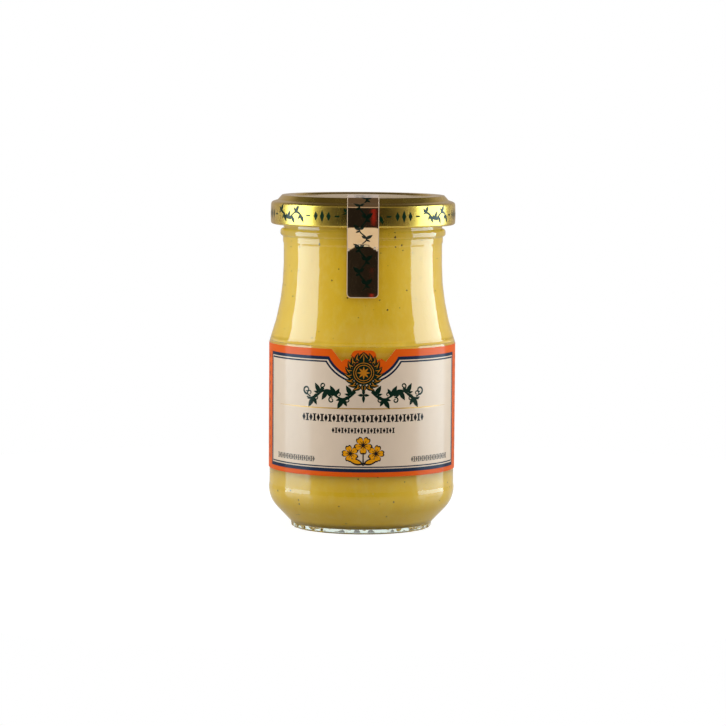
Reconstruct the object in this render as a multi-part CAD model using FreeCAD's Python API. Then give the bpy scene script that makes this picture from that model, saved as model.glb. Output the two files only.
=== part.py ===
import FreeCAD, Part
import math
import os

# Jar of mustard with a twist-off metal lid, a seal strip and a wrap-round label.
#
# Millimetres. +Z is up, the origin is the middle of the foot on the table, and the front faces -Y.
# A piece that turns about the jar's axis is revolved from an outline of corners. A corner is
# (radius, height, rounding), and the rounding is the radius of the arc that replaces the sharp corner.

# Glass jar: overall sizes
body_diameter = 61.0
rim_height = 108.7
wall = 2.6

# Glass jar: foot and heel
foot_height = 1.7
foot_radius = 23.2
foot_taper = 0.4
foot_edge_rounding = 1.0
foot_top_rounding = 0.6
foot_ring_width = 3.4
push_up_height = 2.0
push_up_ring = 2.6
heel_height = 9.3
heel_rounding = 9.5
floor_thickness = 3.7
floor_crown = 0.8
floor_rounding = 3.0

# Glass jar: shoulder, neck and finish
neck_set_in = 4.5
shoulder_height = 26.0
shoulder_edge_rounding = 2.0
neck_height = 21.5
bead_proud = 1.05
bead_width = 2.4
bead_drop = 11.8
bead_rounding = 0.7
bead_root_rounding = 0.3
finish_proud = 0.6
finish_height = 7.6
finish_rounding = 0.6
lip_rounding = 0.8

# Mustard
fill_below_rim = 6.0

# Lid of gold lacquered tinplate
lid_sheet = 0.3
lid_thread_room = 3.4
skirt_height = 9.5
skirt_edge_rounding = 0.8
skirt_shoulder_drop = 2.3
skirt_shoulder_rise = 0.7
skirt_shoulder_rounding = 1.1
step_past_lip = 0.8
step_run = 1.4
step_foot_rounding = 0.5
step_top_rounding = 0.6
panel_gap_to_lip = 0.6
panel_slope = 0.5
panel_drop = 0.5
panel_rounding = 0.4
button_radius = 15.0
button_slope = 1.2
button_rise = 0.25
button_rounding = 0.8
curl_width = 1.5
curl_height = 1.7
curl_rounding = 0.6

# Seal strip of foil, stuck over the lid and down the neck
strip_width = 10.2
strip_thickness = 0.12
strip_corner = 1.4
strip_drop = 22.5
strip_past_middle = 6.0
strip_below_bead = 2.8
strip_bend = 0.8
stick_gap = 0.03

# Paper label
label_thickness = 0.15
label_above_heel = 6.6
label_below_shoulder = 0.05
label_gap_behind = 16.0
label_turn = 1.0

# Crest of the label: a tab between two notches cut in its top edge
notch_outer = 10.4
notch_middle = 7.1
notch_depth = 4.0
ear_middle = 5.7
ear_drop = 2.95
tab_half_width = 3.95
tab_step = 0.5
tab_drop = 0.25
tab_rounding = 1.8
notch_root_rounding = 0.25
ear_rounding = 0.5

# Worked out
body_radius = body_diameter / 2
neck_radius = body_radius - neck_set_in
finish_radius = neck_radius + finish_proud
bore_radius = neck_radius - wall
neck_foot = rim_height - neck_height
body_top = neck_foot - shoulder_height
bead_middle = rim_height - bead_drop
lid_top = rim_height + lid_sheet
lid_foot = lid_top - skirt_height
lid_radius = finish_radius + lid_thread_room + lid_sheet
panel_radius = bore_radius - panel_gap_to_lip
panel_top = lid_top - panel_drop
AXIS = FreeCAD.Vector(0, 0, 1)
ORIGIN = FreeCAD.Vector(0, 0, 0)
FAR = 2 * (body_diameter + rim_height)
SMALL = 1e-6


def rounded_path(corners, closed=False):
    """Straight edges through (across, height) corners, with an arc of the corner's rounding in each."""
    points = [FreeCAD.Vector(c[0], 0, c[1]) for c in corners]
    count = len(points)
    starts, ends, bends = [], [], []
    for i, corner in enumerate(corners):
        here = points[i]
        rounding = corner[2] if len(corner) > 2 else 0
        if rounding < SMALL or (not closed and i in (0, count - 1)):
            starts.append(here)
            ends.append(here)
            bends.append(None)
            continue
        back = (points[i - 1] - here).normalize()
        ahead = (points[(i + 1) % count] - here).normalize()
        half = back.getAngle(ahead) / 2
        if math.pi / 2 - half < SMALL:
            starts.append(here)
            ends.append(here)
            bends.append(None)
            continue
        reach = rounding / math.tan(half)
        centre = here + (back + ahead).normalize() * (rounding / math.sin(half))
        starts.append(here + back * reach)
        ends.append(here + ahead * reach)
        bends.append(centre + (here - centre).normalize() * rounding)
    edges = []
    for i in range(count if closed else count - 1):
        after = (i + 1) % count
        if bends[i]:
            edges.append(Part.Arc(starts[i], bends[i], ends[i]).toShape())
        if (starts[after] - ends[i]).Length > SMALL:
            edges.append(Part.LineSegment(ends[i], starts[after]).toShape())
    return Part.Wire(edges)


def moved_out(corners, distance):
    """The same open path, moved to its left by distance, with each rounding grown or shrunk to match."""
    result = []
    last = len(corners) - 1
    for i, corner in enumerate(corners):
        here = FreeCAD.Vector(corner[0], 0, corner[1])
        before = FreeCAD.Vector(corners[max(i - 1, 0)][0], 0, corners[max(i - 1, 0)][1])
        after = FreeCAD.Vector(corners[min(i + 1, last)][0], 0, corners[min(i + 1, last)][1])
        into = (here - before) if i > 0 else (after - here)
        out = (after - here) if i < last else (here - before)
        into.normalize()
        out.normalize()
        left_in = FreeCAD.Vector(-into.z, 0, into.x)
        left_out = FreeCAD.Vector(-out.z, 0, out.x)
        middle = (left_in + left_out).normalize()
        here = here + middle * (distance / middle.dot(left_in))
        turn = into.x * out.z - into.z * out.x
        rounding = corner[2] if len(corner) > 2 else 0
        if rounding > 0:
            rounding = max(rounding - math.copysign(distance, turn), SMALL * 10)
        result.append((here.x, here.z, rounding))
    return result


def turned(corners):
    """Solid of revolution about the jar's axis from a closed outline."""
    return Part.Face(rounded_path(corners, closed=True)).revolve(ORIGIN, AXIS, 360)


def shoulder_edge_reach():
    """How far the soft edge between shoulder and body reaches down the body."""
    return shoulder_edge_rounding * neck_set_in / shoulder_height


def shoulder_corners():
    """Neck foot and body edge: one long hollow arc down from the neck, then a soft edge on to the body."""
    flare = 2 * math.atan2(neck_set_in, shoulder_height)
    reach = (neck_set_in**2 + shoulder_height**2) / (2 * neck_set_in) * math.tan(flare / 2)
    sweep = reach / math.tan(flare / 2) - shoulder_edge_rounding
    return [
        (neck_radius, neck_foot - reach, sweep),
        (body_radius, body_top, shoulder_edge_rounding),
    ]


def heel_line():
    """Body edge and foot edge that the sloping heel joins."""
    return [(body_radius, heel_height, heel_rounding), (foot_radius, foot_height, foot_top_rounding)]


def glass_jar():
    """Jar with a ring foot, pushed-up base, round heel, flared shoulder, bead and plain finish."""
    bead_top = bead_middle + bead_width / 2
    bead_foot = bead_middle - bead_width / 2
    bead_radius = neck_radius + bead_proud
    finish_foot = rim_height - finish_height
    outside = [
        (bore_radius, rim_height, lip_rounding),
        (finish_radius, rim_height, lip_rounding),
        (finish_radius, finish_foot, finish_rounding),
        (neck_radius, finish_foot - finish_proud / 2, finish_rounding),
        (neck_radius, bead_top, bead_root_rounding),
        (bead_radius, bead_top, bead_rounding),
        (bead_radius, bead_foot, bead_rounding),
        (neck_radius, bead_foot, bead_root_rounding),
    ]
    outside += shoulder_corners() + heel_line()
    ring_inside = foot_radius - foot_taper - foot_ring_width
    outside += [
        (foot_radius - foot_taper, 0, foot_edge_rounding),
        (ring_inside, 0, foot_edge_rounding),
        (ring_inside - push_up_ring, push_up_height, foot_edge_rounding),
        (0, push_up_height),
    ]
    return turned(outside + bore_corners())


def bore_corners():
    """Inside of the glass, from the middle of its floor up to below the rim."""
    heel = moved_out([(body_radius, body_top), heel_line()[0], heel_line()[1]], -wall)
    slope_run = (heel[2][0] - heel[1][0]) / (heel[2][1] - heel[1][1])
    floor_radius = heel[1][0] + slope_run * (floor_thickness - heel[1][1])
    inner_heel = max(heel_rounding - wall, foot_top_rounding)
    shoulder = moved_out(
        [(neck_radius, neck_foot + neck_height), *shoulder_corners(), (body_radius, heel_height)],
        -wall,
    )
    return [
        (0, floor_thickness + floor_crown),
        (floor_radius, floor_thickness, floor_rounding),
        (heel[1][0], heel[1][1], inner_heel),
        shoulder[2],
        shoulder[1],
    ]


def mustard():
    """The filling, which reaches the glass everywhere and stops under the lid."""
    top = rim_height - fill_below_rim
    return turned(bore_corners() + [(bore_radius, top), (0, top)])


def lid_corners():
    """Outside of the lid, from the middle of its panel out and down to the foot of its skirt."""
    shoulder = lid_top - skirt_shoulder_drop + skirt_shoulder_rise
    step_top = finish_radius - lip_rounding + step_past_lip
    return [
        (0, panel_top + button_rise),
        (button_radius, panel_top + button_rise, button_rounding),
        (button_radius + button_slope, panel_top, button_rounding),
        (panel_radius - panel_slope, panel_top, panel_rounding),
        (panel_radius, lid_top, panel_rounding),
        (step_top, lid_top, step_top_rounding),
        (step_top + step_run, shoulder, step_foot_rounding),
        (lid_radius, lid_top - skirt_shoulder_drop, skirt_shoulder_rounding),
        (lid_radius, lid_foot, skirt_edge_rounding),
    ]


def lid():
    """Pressed lid of even sheet, its foot curled inward."""
    outer = lid_corners()
    inner = moved_out(outer, -lid_sheet)
    curl_inside = lid_radius - curl_width
    curl_top = lid_foot + curl_height
    curl = [
        (curl_inside, lid_foot, curl_rounding),
        (curl_inside, curl_top, curl_rounding),
        (lid_radius - lid_sheet, curl_top),
    ]
    return turned(outer + curl + inner[-2::-1])


def stuck_path(out):
    """Line of the strip over the lid, across the gap to the neck and down the glass, at a distance out."""
    skirt = [*lid_corners()[:-1], (lid_radius, lid_foot, strip_bend)]
    landing = (neck_radius, bead_middle - bead_width / 2 - strip_below_bead, strip_bend)
    glass = [*shoulder_corners(), (body_radius, heel_height)]
    return moved_out(skirt + [landing] + glass, out)


def block_behind(corners, start=-FAR, end=FAR):
    """Block with a closed outline in X and Z that runs in Y from start to end."""
    block = Part.Face(rounded_path(corners, closed=True)).extrude(FreeCAD.Vector(0, end - start, 0))
    block.translate(FreeCAD.Vector(0, start, 0))
    return block


def upright_block(corners):
    """Block with a closed outline in X and Y that runs far up and down."""
    block = block_behind([(x, -y, *rounding) for x, y, *rounding in corners])
    block.rotate(ORIGIN, FreeCAD.Vector(1, 0, 0), 90)
    return block


def seal_strip():
    """Foil strip of even width: what two trimmed outlines leave of a thin turned skin."""
    under = stuck_path(stick_gap)
    over = stuck_path(stick_gap + strip_thickness)
    skin = turned(over + under[::-1])
    half = strip_width / 2
    foot = lid_foot - strip_drop
    end = strip_past_middle
    seen_from_front = [(-half, foot, strip_corner), (half, foot, strip_corner), (half, FAR), (-half, FAR)]
    seen_from_above = [(-half, -FAR), (half, -FAR), (half, end, strip_corner), (-half, end, strip_corner)]
    return skin.common(block_behind(seen_from_front, end=end)).common(upright_block(seen_from_above))


def crest_corners(top):
    """Edge of the crest from left to right, below the label's top edge."""
    half = [
        (notch_outer, top),
        (notch_middle, top - notch_depth, notch_root_rounding),
        (ear_middle, top - ear_drop, ear_rounding),
        (tab_half_width, top - ear_drop - tab_step, notch_root_rounding),
        (tab_half_width, top - tab_drop, tab_rounding),
    ]
    return [(-x, z, *rounding) for x, z, *rounding in half] + half[::-1]


def label():
    """Paper label on the straight body, with a gap behind and a crest cut in its top edge in front."""
    heel_turn = math.atan2(body_radius - foot_radius, heel_height - foot_height)
    low = heel_height + heel_rounding * math.tan(heel_turn / 2) + label_above_heel
    high = body_top - shoulder_edge_reach() - label_below_shoulder
    inside = body_radius + stick_gap
    outside = inside + label_thickness
    paper = turned([(inside, low), (outside, low), (outside, high), (inside, high)])
    half_gap = label_gap_behind / 2
    gap = block_behind([(-half_gap, -FAR), (half_gap, -FAR), (half_gap, FAR), (-half_gap, FAR)], start=0)
    above = high + label_thickness
    notches = [(-notch_outer, above), *crest_corners(high), (notch_outer, above)]
    paper = paper.cut(gap).cut(block_behind(notches, end=0))
    paper.rotate(ORIGIN, AXIS, label_turn)
    return paper


PIECES = {
    "glass_jar": glass_jar,
    "mustard": mustard,
    "lid": lid,
    "seal_strip": seal_strip,
    "label": label,
}

os.makedirs("parts", exist_ok=True)
for name, make in PIECES.items():
    shape = make()
    print(name, shape.isValid(), len(shape.Solids), round(shape.Volume, 2), shape.BoundBox)
    shape.exportStep(f"parts/{name}.step")
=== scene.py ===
import math

import bmesh
import bpy
from mathutils import Matrix, Vector
from mathutils.geometry import delaunay_2d_cdt


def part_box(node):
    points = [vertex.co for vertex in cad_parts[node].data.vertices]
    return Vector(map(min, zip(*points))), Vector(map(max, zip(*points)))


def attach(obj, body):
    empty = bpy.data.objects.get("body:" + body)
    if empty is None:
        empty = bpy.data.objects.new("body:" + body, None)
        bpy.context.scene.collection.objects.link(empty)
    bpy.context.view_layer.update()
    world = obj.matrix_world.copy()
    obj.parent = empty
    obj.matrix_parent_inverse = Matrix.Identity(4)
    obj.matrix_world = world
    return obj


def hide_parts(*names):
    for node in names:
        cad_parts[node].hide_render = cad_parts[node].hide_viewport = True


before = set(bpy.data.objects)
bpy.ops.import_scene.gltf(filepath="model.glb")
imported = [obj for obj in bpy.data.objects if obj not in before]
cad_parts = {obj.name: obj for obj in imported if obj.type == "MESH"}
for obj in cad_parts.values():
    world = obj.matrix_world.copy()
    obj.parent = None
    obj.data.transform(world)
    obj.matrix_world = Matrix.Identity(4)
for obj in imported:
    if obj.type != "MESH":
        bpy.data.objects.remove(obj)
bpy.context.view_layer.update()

# A filled mustard jar: glass, mustard, gold lid, foil seal strip and printed paper label.
# Lengths are in millimetres unless a name says otherwise, and become metres where a mesh is made.
# Places round the jar are angles from the front (-Y), positive towards +X, as seen by someone facing it.

MM = 0.001


def box_mm(node):
    """Lowest and highest corner of a CAD node, in millimetres."""
    low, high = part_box(node)
    return low / MM, high / MM


glass_high = box_mm("glass_jar")[1]
mustard_high = box_mm("mustard")[1]
lid_low, lid_high = box_mm("lid")
strip_low, strip_high = box_mm("seal_strip")
label_low, label_high = box_mm("label")

# ---------------------------------------------------------------- sizes

# Glass
BODY_RADIUS = glass_high.x
RIM = glass_high.z
WALL = BODY_RADIUS - mustard_high.x
NECK_RADIUS = BODY_RADIUS - 4.5
BORE_RADIUS = NECK_RADIUS - WALL
BODY_TOP = 61.2
SHOULDER_ROUNDING = 2.0
NECK_FOOT = 87.2
FINISH_RADIUS = NECK_RADIUS + 0.6
FINISH_FOOT = RIM - 7.6
BEAD_MIDDLE = RIM - 11.8
BEAD_RADIUS = NECK_RADIUS + 1.05
BEAD_HALF = 1.2
BEAD_FOOT = BEAD_MIDDLE - BEAD_HALF
STEP_DROP = 2.6
STEP_OUT = 0.22
HEEL_HEIGHT = 9.3
HEEL_ROUNDING = 9.5
RIDGE_HEIGHT = 13.3
PANEL_SET_IN = 0.15
FOOT_RADIUS = 23.2
FOOT_HEIGHT = 1.7
FOOT_RING = 19.4
PUSH_UP = 2.0
FLOOR_HEIGHT = 3.7
FLOOR_CROWN = 0.8
FLOOR_ROUNDING = 3.0
WAVE_DEPTH = 0.07
WAVE_SUM = 2.74
RING_RIPPLE = 0.26
RING_RIPPLE_FINE = 0.16
FOOT_RIPPLE = 0.06
GLASS_SIDES = 288
LONGEST_GLASS_RUN = 1.6

# Mustard
FILL_TOP = mustard_high.z
INTO_WALL = 0.15
MUSTARD_SIDES = 192

# Lid
LID_RADIUS = lid_high.x
LID_TOP = lid_high.z
LID_FOOT = lid_low.z
LID_SHEET = 0.3
LID_SIDES = 256
SKIRT_TOP = LID_TOP - 2.3
SKIRT_BELLY = 0.16
STEP_TOP_RADIUS = FINISH_RADIUS
STEP_FOOT_RADIUS = STEP_TOP_RADIUS + 1.4
STEP_FOOT = SKIRT_TOP + 0.7
PANEL_RADIUS = BORE_RADIUS - 0.6
PANEL_DROP = 0.5
BUTTON_RADIUS = 15.0
BUTTON_SLOPE = 1.2
BUTTON_RISE = 0.25
CURL_WIDTH = 1.5
CURL_HEIGHT = 1.7
BAND_LIFT = 0.014
BAND_SINK = 0.03
BAND_GROUPS = 7
BAND_ROW = 0.5

# Seal strip
STRIP_HALF = strip_high.x
STRIP_FOOT = strip_low.z
STRIP_END = strip_high.y
STRIP_GAP = 0.03
STRIP_SHEET = 0.09
STOCK_TOP = STRIP_SHEET - 0.02
FOIL_TOP = STRIP_SHEET - 0.008
VINE_TOP = STRIP_SHEET + 0.004
STRIP_CORNER = 1.4
STRIP_BORDER = 0.22
STRIP_LANDING = BEAD_FOOT - 1.45
STRIP_BEND = 0.8
STRIP_ARCH = 1.5
STRIP_RUN = 0.7
STRIP_ROW = 0.5
STRIP_COLUMN = 0.85
BRIDGE_START = -0.6
BRIDGE_SOFTNESS = 0.002
ROUND_UNTIL = 9.0

# Label
PAPER_INNER = BODY_RADIUS + 0.02
PAPER_OUTER = PAPER_INNER + 0.08
INK_STEP = 0.011
LABEL_FOOT = label_low.z
LABEL_TOP = label_high.z
LABEL_GAP = 16.0
LABEL_TURN = math.radians(1.0)
LABEL_HALF_ROUND = math.pi * BODY_RADIUS
COLUMN = 0.8

# Prints on the label: heights of their middles, and arcs from the middle of the front
SCOOP_RISE = 3.6
SCOOP_STEPS = 40
WREATH_HEIGHT = 53.3
WREATH_LEAVES = 9
NAME_HEIGHT = 46.1
RULE_HEIGHT = 41.75
RULE_HALF = 32
WIDE_ROW_HEIGHT = 38.6
NARROW_ROW_HEIGHT = 34.7
CORNER_ROW_HEIGHT = 25.1
SIDE_MARK_ARC = 42.3
SIDE_PANEL_ARC = 65.0


# ---------------------------------------------------------------- lines and meshes

def rounded_line(corners, degrees_a_step):
    """Points along straight runs through (across, up, rounding) corners, with an arc in each corner."""
    line = []
    for i, corner in enumerate(corners):
        here = Vector(corner[:2])
        rounding = corner[2] if len(corner) > 2 else 0.0
        if rounding == 0.0 or i in (0, len(corners) - 1):
            line.append(here)
            continue
        back = (Vector(corners[i - 1][:2]) - here).normalized()
        ahead = (Vector(corners[i + 1][:2]) - here).normalized()
        half = back.angle(ahead) / 2
        centre = here + (back + ahead).normalized() * (rounding / math.sin(half))
        first = here + back * (rounding / math.tan(half)) - centre
        start = math.atan2(first.y, first.x)
        sweep = math.pi - 2 * half
        if back.x * ahead.y - back.y * ahead.x > 0:
            sweep = -sweep
        steps = max(2, math.ceil(abs(math.degrees(sweep)) / degrees_a_step))
        for k in range(steps + 1):
            angle = start + sweep * k / steps
            line.append(centre + Vector((math.cos(angle), math.sin(angle))) * rounding)
    return line


def moved_left(corners, distance):
    """The same open line of corners, moved to its left by distance, its roundings grown to match."""
    moved = []
    last = len(corners) - 1
    for i, corner in enumerate(corners):
        here = Vector(corner[:2])
        before = Vector(corners[max(i - 1, 0)][:2])
        after = Vector(corners[min(i + 1, last)][:2])
        into = (here - before if i > 0 else after - here).normalized()
        out = (after - here if i < last else here - before).normalized()
        left_in = Vector((-into.y, into.x))
        left_out = Vector((-out.y, out.x))
        middle = (left_in + left_out).normalized()
        here = here + middle * (distance / middle.dot(left_in))
        rounding = corner[2] if len(corner) > 2 else 0.0
        if rounding > 0:
            turn = into.x * out.y - into.y * out.x
            rounding = max(rounding - math.copysign(distance, turn), 0.01)
        moved.append((here.x, here.y, rounding))
    return moved


def with_runs_cut(line, longest):
    """The line with points added, so that no run is longer than longest."""
    cut = [line[0]]
    for before, after in zip(line, line[1:]):
        pieces = max(1, math.ceil((after - before).length / longest))
        cut += [before.lerp(after, k / pieces) for k in range(1, pieces + 1)]
    return cut


def place(radius, angle, height):
    """Point in metres at a radius, an angle from the front and a height."""
    return Vector((radius * math.sin(angle), -radius * math.cos(angle), height)) * MM


def piece_from(bm, name, materials):
    """Object of the jar from a bmesh, smooth, riding on the jar and under the given name."""
    mesh = bpy.data.meshes.new(name)
    bm.to_mesh(mesh)
    bm.free()
    for face in mesh.polygons:
        face.use_smooth = True
    for material in materials:
        mesh.materials.append(material)
    piece = bpy.data.objects.new(name, mesh)
    bpy.context.scene.collection.objects.link(piece)
    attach(piece, "root")
    return piece


def turned(name, line, sides, materials, push=None):
    """Solid of revolution from a line that starts and ends on the axis."""
    bm = bmesh.new()
    rings = []
    for radius, height in line:
        if radius < 1e-4:
            rings.append([bm.verts.new((0, 0, height * MM))])
            continue
        ring = []
        for k in range(sides):
            angle = 2 * math.pi * k / sides
            shift = push(radius, angle, height) if push else 0.0
            ring.append(bm.verts.new(place(radius + shift, angle, height)))
        rings.append(ring)
    for lower, upper in zip(rings, rings[1:]):
        for k in range(sides):
            following = (k + 1) % sides
            corners = [lower[k % len(lower)], lower[following % len(lower)]]
            corners += [upper[following % len(upper)], upper[k % len(upper)]]
            bm.faces.new(list(dict.fromkeys(corners)))
    bmesh.ops.recalc_face_normals(bm, faces=bm.faces)
    return piece_from(bm, name, materials)


# ---------------------------------------------------------------- flat shapes, (across, up) in millimetres

def disc(x, y, radius, sides):
    """Round spot."""
    return [
        (x + radius * math.cos(2 * math.pi * k / sides), y + radius * math.sin(2 * math.pi * k / sides))
        for k in range(sides)
    ]


def bar(left, low, right, high):
    """Upright rectangle."""
    return [(left, low), (right, low), (right, high), (left, high)]


def lozenge(x, y, width, height):
    """Diamond on its point."""
    return [(x, y - height / 2), (x + width / 2, y), (x, y + height / 2), (x - width / 2, y)]


def leaf(x, y, length, width, degrees):
    """Pointed leaf that grows from (x, y) in a direction."""
    angle = math.radians(degrees)
    along = Vector((math.cos(angle), math.sin(angle)))
    across = Vector((-math.sin(angle), math.cos(angle)))
    steps = 7
    sides = []
    for side in (1, -1):
        for k in range(steps):
            share = k / steps if side == 1 else 1 - k / steps
            bulge = math.sin(math.pi * share**0.8) * width / 2
            sides.append(Vector((x, y)) + along * (length * share) + across * (side * bulge))
    return [tuple(p) for p in sides]


def stroke(path, widths):
    """Pen stroke along a path of points, its width going smoothly from one given width to the next."""
    left, right = [], []
    for i, point in enumerate(path):
        ahead = Vector(path[min(i + 1, len(path) - 1)]) - Vector(path[max(i - 1, 0)])
        across = Vector((-ahead.y, ahead.x)).normalized()
        spot = i / (len(path) - 1) * (len(widths) - 1)
        lower = min(int(spot), len(widths) - 2)
        width = widths[lower] + (widths[lower + 1] - widths[lower]) * (spot - lower)
        left.append(tuple(Vector(point) + across * width / 2))
        right.append(tuple(Vector(point) - across * width / 2))
    return left + right[::-1]


def curl(x, y, radius, start, sweep, shrink, steps=26):
    """Path of a spiral about (x, y), start and sweep in degrees, its radius going to shrink of itself."""
    path = []
    for k in range(steps + 1):
        share = k / steps
        angle = math.radians(start + sweep * share)
        reach = radius * (1 + (shrink - 1) * share)
        path.append((x + reach * math.cos(angle), y + reach * math.sin(angle)))
    return path


def wave(left, right, middle, height, phase):
    """Path of a wave of one and a half turns."""
    steps = 48
    return [
        (left + (right - left) * k / steps, middle + height * math.sin(2 * math.pi * 1.5 * k / steps + phase))
        for k in range(steps + 1)
    ]


def mirrored(shapes):
    """Shapes with their mirror images about the upright centre line."""
    return shapes + [[(-x, y) for x, y in reversed(shape)] for shape in shapes]


def area_of(shape):
    """Signed area of an outline."""
    return sum(a[0] * b[1] - b[0] * a[1] for a, b in zip(shape, shape[1:] + shape[:1])) / 2


def sheet_between(name, shapes, outer, inner, materials, columns=(), rows=()):
    """Thin closed sheet from flat shapes, merged where they meet and cut along columns and rows.

    outer and inner turn a flat (across, up) into a point on each skin. A second material is for its edges.
    """
    points, edges, faces = [], [], []
    for shape in shapes:
        ordered = shape if area_of(shape) > 0 else shape[::-1]
        first = len(points)
        points += [Vector(p) for p in ordered]
        faces.append(list(range(first, len(points))))
    left, right = min(p.x for p in points), max(p.x for p in points)
    low, high = min(p.y for p in points), max(p.y for p in points)
    cuts = [((x, low - 1), (x, high + 1)) for x in columns if left < x < right]
    cuts += [((left - 1, y), (right + 1, y)) for y in rows if low < y < high]
    for start, stop in cuts:
        edges.append((len(points), len(points) + 1))
        points += [Vector(start), Vector(stop)]
    flat, _, parts, _, _, sources = delaunay_2d_cdt(points, edges, faces, 0, 1e-5)
    kept = [part for part, source in zip(parts, sources) if source]
    used = sorted({i for part in kept for i in part})
    bm = bmesh.new()
    top = {i: bm.verts.new(outer(*flat[i])) for i in used}
    bottom = {i: bm.verts.new(inner(*flat[i])) for i in used}
    border = set()
    for part in kept:
        bm.faces.new([top[i] for i in part])
        bm.faces.new([bottom[i] for i in reversed(part)])
        for a, b in zip(part, part[1:] + part[:1]):
            if (b, a) in border:
                border.remove((b, a))
            else:
                border.add((a, b))
    for a, b in sorted(border):
        side = bm.faces.new([top[b], top[a], bottom[a], bottom[b]])
        side.material_index = len(materials) - 1
        bm.edges.get((top[a], top[b])).smooth = False
        bm.edges.get((bottom[a], bottom[b])).smooth = False
    bmesh.ops.recalc_face_normals(bm, faces=bm.faces)
    return piece_from(bm, name, materials)


def evenly(pitch, reach):
    """Places a pitch apart, from -reach to reach."""
    count = math.floor(reach / pitch)
    return [k * pitch for k in range(-count, count + 1)]


# ---------------------------------------------------------------- shader building

def new_node(tree, kind, **inputs):
    """Node with its plain inputs set. Underscores in an input's name stand for spaces."""
    made = tree.nodes.new(kind)
    for key, value in inputs.items():
        made.inputs[key.replace("_", " ")].default_value = value
    return made


def sums(tree, operation, first, second, clamp=False):
    """Output of a Math node, each side a socket or a number."""
    made = tree.nodes.new("ShaderNodeMath")
    made.operation = operation
    made.use_clamp = clamp
    for socket, value in zip(made.inputs, (first, second)):
        if isinstance(value, (int, float)):
            socket.default_value = value
        else:
            tree.links.new(value, socket)
    return made.outputs[0]


def scaled(tree, value, factor, start, clamp=False):
    """Output of start plus factor times value."""
    return sums(tree, "ADD", sums(tree, "MULTIPLY", value, factor), start, clamp)


def blended(tree, share, first, second):
    """Colour between two colours, each a socket or a colour."""
    made = tree.nodes.new("ShaderNodeMix")
    made.data_type = "RGBA"
    for socket, value in ((made.inputs[0], share), (made.inputs[6], first), (made.inputs[7], second)):
        if isinstance(value, bpy.types.NodeSocket):
            tree.links.new(value, socket)
        else:
            socket.default_value = value
    return made.outputs[2]


def ramp(tree, value, low, high):
    """0 at low and under, 1 at high and over, smooth between."""
    made = tree.nodes.new("ShaderNodeMapRange")
    made.interpolation_type = "SMOOTHSTEP"
    made.inputs["From Min"].default_value = low
    made.inputs["From Max"].default_value = high
    tree.links.new(value, made.inputs["Value"])
    return made.outputs["Result"]


def placed(tree, scale):
    """Place on the object in millimetres, times scale, which is three numbers."""
    where = tree.nodes.new("ShaderNodeTexCoord")
    sized = tree.nodes.new("ShaderNodeMapping")
    sized.inputs["Scale"].default_value = [s / MM for s in scale]
    tree.links.new(where.outputs["Object"], sized.inputs["Vector"])
    return sized.outputs["Vector"]


def noise(tree, vector, detail=3.0, roughness=0.5, scale=1.0):
    """Noise value from 0 to 1."""
    made = new_node(tree, "ShaderNodeTexNoise", Scale=scale, Detail=detail, Roughness=roughness)
    tree.links.new(vector, made.inputs["Vector"])
    return made.outputs["Fac"]


def rgb(red, green, blue):
    """Linear colour from an 8-bit sRGB one."""
    return [
        (c / 12.92 if c <= 0.04045 else ((c + 0.055) / 1.055) ** 2.4)
        for c in (red / 255, green / 255, blue / 255)
    ] + [1.0]


def effect(name, inputs, outputs):
    """Empty node group with float inputs (name, value) and float outputs."""
    tree = bpy.data.node_groups.new(name, "ShaderNodeTree")
    for label, value in inputs:
        socket = tree.interface.new_socket(name=label, in_out="INPUT", socket_type="NodeSocketFloat")
        socket.default_value = value
    for label in outputs:
        tree.interface.new_socket(name=label, in_out="OUTPUT", socket_type="NodeSocketFloat")
    return tree, tree.nodes.new("NodeGroupInput").outputs, tree.nodes.new("NodeGroupOutput").inputs


def paper_fibre_effect():
    """Tone and height of fine pressed fibre, as on coated paper."""
    tree, given, result = effect("paper_fibre", [("Contrast", 0.5)], ["Tone", "Height"])
    fine = noise(tree, placed(tree, (9.0, 9.0, 5.0)), detail=5.0, roughness=0.65)
    broad = noise(tree, placed(tree, (0.35, 0.35, 0.22)), detail=2.0)
    both = sums(tree, "ADD", sums(tree, "MULTIPLY", fine, 0.5), sums(tree, "MULTIPLY", broad, 0.5))
    centred = sums(tree, "SUBTRACT", both, 0.5)
    tone = scaled(tree, centred, given["Contrast"], 0.5, clamp=True)
    tree.links.new(tone, result["Tone"])
    tree.links.new(fine, result["Height"])
    return tree


def handling_effect():
    """Roughness of a polished surface that has been handled: its base, with faint smears and fine rubs."""
    tree, given, result = effect("handling", [("Base", 0.1), ("Smears", 0.1)], ["Roughness", "Height"])
    smears = noise(tree, placed(tree, (0.11, 0.11, 0.05)), detail=4.0, roughness=0.6)
    smears = ramp(tree, smears, 0.42, 0.75)
    rubs = noise(tree, placed(tree, (1.6, 1.6, 0.5)), detail=5.0, roughness=0.7)
    both = sums(tree, "MULTIPLY", smears, rubs)
    tree.links.new(scaled(tree, both, given["Smears"], given["Base"]), result["Roughness"])
    tree.links.new(noise(tree, placed(tree, (0.22, 0.22, 0.1)), detail=2.0), result["Height"])
    return tree


def cloud_effect():
    """Slow cloudy variation and a finer one, for thick paste and for lacquer."""
    tree, given, result = effect("cloud", [("Size", 10.0)], ["Slow", "Fine"])
    where = placed(tree, (1.0, 1.0, 0.55))
    sized = tree.nodes.new("ShaderNodeVectorMath")
    sized.operation = "SCALE"
    tree.links.new(where, sized.inputs[0])
    tree.links.new(sums(tree, "DIVIDE", 1.0, given["Size"]), sized.inputs["Scale"])
    tree.links.new(noise(tree, sized.outputs[0], detail=3.0, roughness=0.55), result["Slow"])
    tree.links.new(noise(tree, sized.outputs[0], detail=6.0, roughness=0.6, scale=6.0), result["Fine"])
    return tree


PAPER_FIBRE = paper_fibre_effect()
HANDLING = handling_effect()
CLOUD = cloud_effect()


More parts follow.
